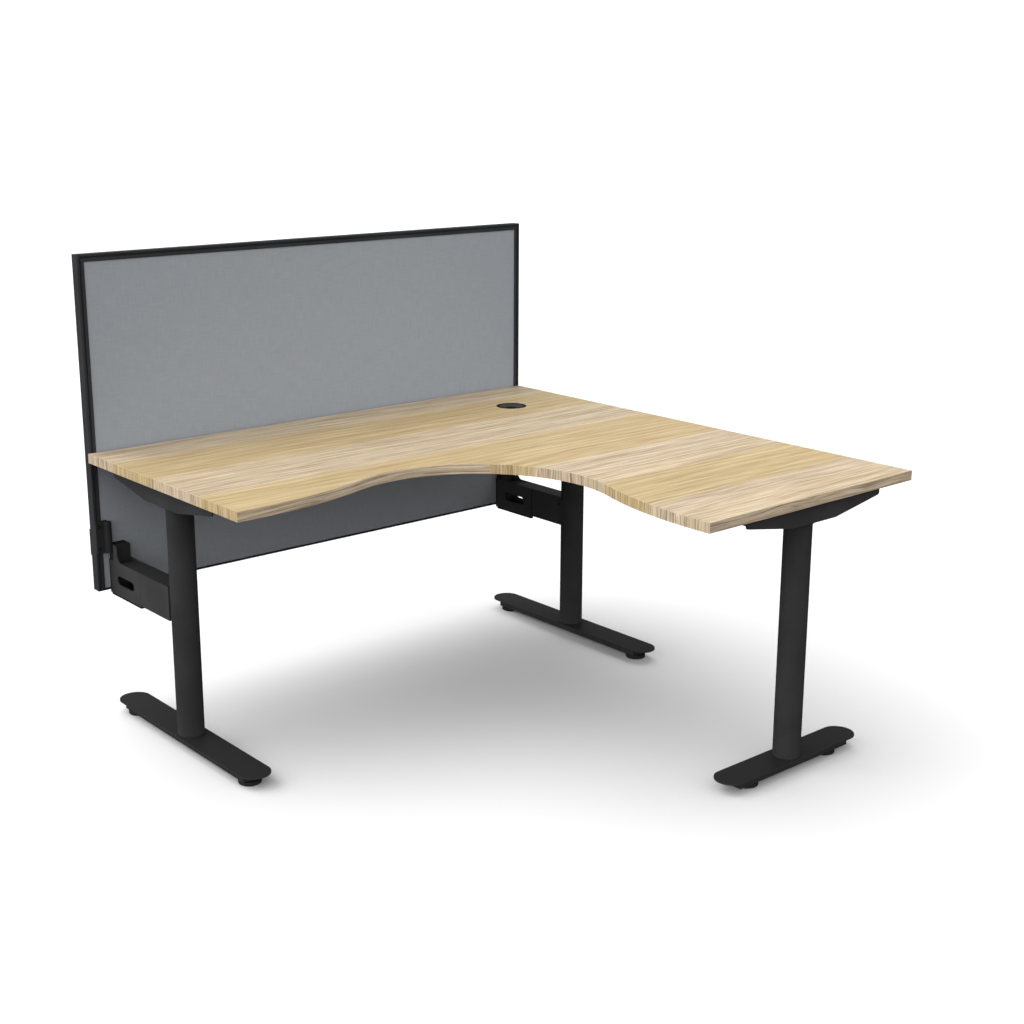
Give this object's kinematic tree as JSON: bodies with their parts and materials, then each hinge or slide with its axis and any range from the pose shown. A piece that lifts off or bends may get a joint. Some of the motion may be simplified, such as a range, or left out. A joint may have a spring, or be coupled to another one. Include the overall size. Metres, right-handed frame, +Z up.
{
  "type": "corner workstation",
  "caption": "Corner desk with a curved L-shaped worktop on round T-legs, a cable grommet and a framed fabric screen on telescoping arms.",
  "frame": {"origin": "On the floor, in the middle of the whole object's ground plan.", "axes": "+X runs along the screen to the right as the seated user sees it, +Y from the user to the screen, +Z up."},
  "size_m": [1.5, 1.5384, 1.248],
  "materials": {
    "laminate": "wood-patterned melamine, satin",
    "edge": "wood-patterned edge band, satin",
    "steel": "black powder coat, satin",
    "casting": "black powder coat on a casting, matte",
    "extrusion": "black powder coat on aluminium, satin",
    "key": "bare casting, hidden",
    "fastener": "black zinc",
    "black_plastic": "moulded, fine texture",
    "grey_plastic": "moulded, fine texture",
    "fabric": "woven, matte",
    "core": "raw softboard, hidden"
  },
  "bodies": {
    "frame": {"worktop_panel": "laminate", "edge_band": "edge", "column_left": "steel", "column_corner": "steel", "column_end": "steel", "foot_left": "steel", "foot_corner": "steel", "foot_end": "steel", "foot_rail_left": "steel", "foot_rail_corner": "steel", "foot_rail_end": "steel", "support_arm_left": "steel", "support_arm_corner": "steel", "support_arm_end": "steel", "back_rail": "steel", "front_rail": "steel", "side_rail_outer": "steel", "side_rail_inner": "steel", "beam_left": "steel", "beam_right": "steel", "beam_cover_left": "steel", "beam_cover_right": "steel", "worktop_screws": "fastener", "leveller_nuts": "fastener", "foot_bolts": "fastener", "arm_bolts": "fastener", "rail_bolts": "fastener", "beam_screw_left": "fastener", "beam_screw_right": "fastener", "grommet_liner": "black_plastic"},
    "screen": {"screen_post_left": "extrusion", "screen_post_right": "extrusion", "screen_top_rail": "extrusion", "screen_bottom_rail": "extrusion", "screen_core": "core", "screen_fabric_front": "fabric", "screen_fabric_back": "fabric", "screen_corner_keys": "key", "screen_post_caps": "black_plastic", "sleeve_left": "steel", "sleeve_right": "steel", "sleeve_screws_left": "fastener", "sleeve_screws_right": "fastener", "clamp_left": "casting", "clamp_right": "casting", "clamp_rear_plate_left": "casting", "clamp_rear_plate_right": "casting", "clamp_screws_left": "fastener", "clamp_screws_right": "fastener"},
    "grommet_cap": {"grommet_cap": "grey_plastic"},
    "grommet_shutter": {"grommet_shutter": "black_plastic"},
    "leveller_left_front": {"leveller_left_front": "black_plastic"},
    "leveller_left_rear": {"leveller_left_rear": "black_plastic"},
    "leveller_corner_front": {"leveller_corner_front": "black_plastic"},
    "leveller_corner_rear": {"leveller_corner_rear": "black_plastic"},
    "leveller_end_left": {"leveller_end_left": "black_plastic"},
    "leveller_end_right": {"leveller_end_right": "black_plastic"}
  },
  "joints": [
    {"name": "screen_depth", "type": "slide", "parent": "frame", "child": "screen", "axis": [0, 1, 0], "range_m": [0, 0.04]},
    {"name": "grommet_lift", "type": "slide", "parent": "frame", "child": "grommet_cap", "axis": [0, 0, 1], "range_m": [0, 0.025]},
    {"name": "grommet_shutter_turn", "type": "hinge", "parent": "grommet_cap", "child": "grommet_shutter", "pos_m": [0.515, 0.49575, 0.726], "axis": [0, 0, -1], "range_deg": [0, 90]},
    {"name": "leveller_left_front_height", "type": "slide", "parent": "frame", "child": "leveller_left_front", "axis": [0, 0, -1], "range_m": [0, 0.008]},
    {"name": "leveller_left_rear_height", "type": "slide", "parent": "frame", "child": "leveller_left_rear", "axis": [0, 0, -1], "range_m": [0, 0.008]},
    {"name": "leveller_corner_front_height", "type": "slide", "parent": "frame", "child": "leveller_corner_front", "axis": [0, 0, -1], "range_m": [0, 0.008]},
    {"name": "leveller_corner_rear_height", "type": "slide", "parent": "frame", "child": "leveller_corner_rear", "axis": [0, 0, -1], "range_m": [0, 0.008]},
    {"name": "leveller_end_left_height", "type": "slide", "parent": "frame", "child": "leveller_end_left", "axis": [0, 0, -1], "range_m": [0, 0.008]},
    {"name": "leveller_end_right_height", "type": "slide", "parent": "frame", "child": "leveller_end_right", "axis": [0, 0, -1], "range_m": [0, 0.008]}
  ]
}
